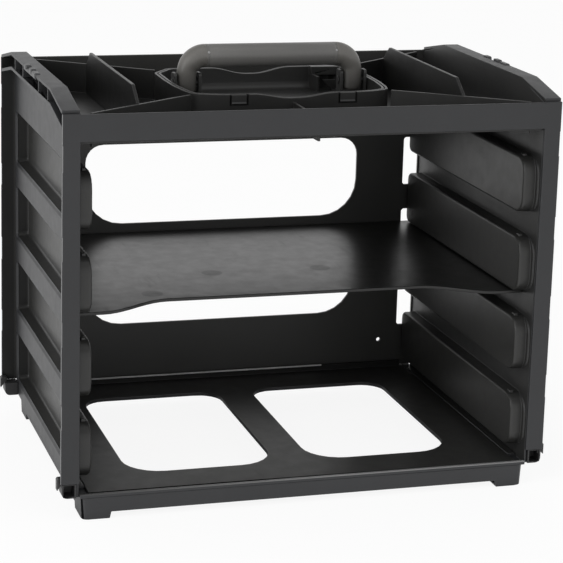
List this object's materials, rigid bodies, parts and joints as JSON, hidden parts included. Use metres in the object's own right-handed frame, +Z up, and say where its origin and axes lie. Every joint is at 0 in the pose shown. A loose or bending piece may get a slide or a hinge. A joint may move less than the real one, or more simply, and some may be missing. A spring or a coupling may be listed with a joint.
{
  "type": "tool storage caddy",
  "caption": "Open-fronted moulded rack with shelf, runner bosses for small cases, a divided top tray and a carry handle that folds into a well.",
  "frame": {"origin": "on the ground below the middle of the rack", "axes": "+X to the rack's right seen from the open front, +Y to the back panel, +Z up"},
  "size_m": [0.3844, 0.265, 0.33],
  "materials": {
    "shell": "fine moulded grain, satin",
    "lining": "fine moulded grain, matte",
    "handle": "smooth satin",
    "shoe": "matte",
    "pin": "smooth satin"
  },
  "bodies": {
    "rack": {"front_frame": "shell", "back_panel": "lining", "left_side_wall": "shell", "right_side_wall": "shell", "base_tray": "shell", "mid_shelf": "lining", "top_tray": "lining", "left_divider": "lining", "right_divider": "lining", "handle_housing": "lining", "handle_pin_left": "pin", "handle_pin_right": "pin", "left_coupler": "shell", "right_coupler": "shell", "front_left_shoe": "shoe", "front_right_shoe": "shoe", "back_left_shoe": "shoe", "back_right_shoe": "shoe"},
    "handle": {"handle_bail": "handle", "handle_grip": "handle"}
  },
  "joints": [
    {"name": "handle_fold", "type": "hinge", "parent": "rack", "child": "handle", "pos_m": [0, 0, 0.3], "axis": [1, 0, 0], "range_deg": [-90, 90]}
  ]
}
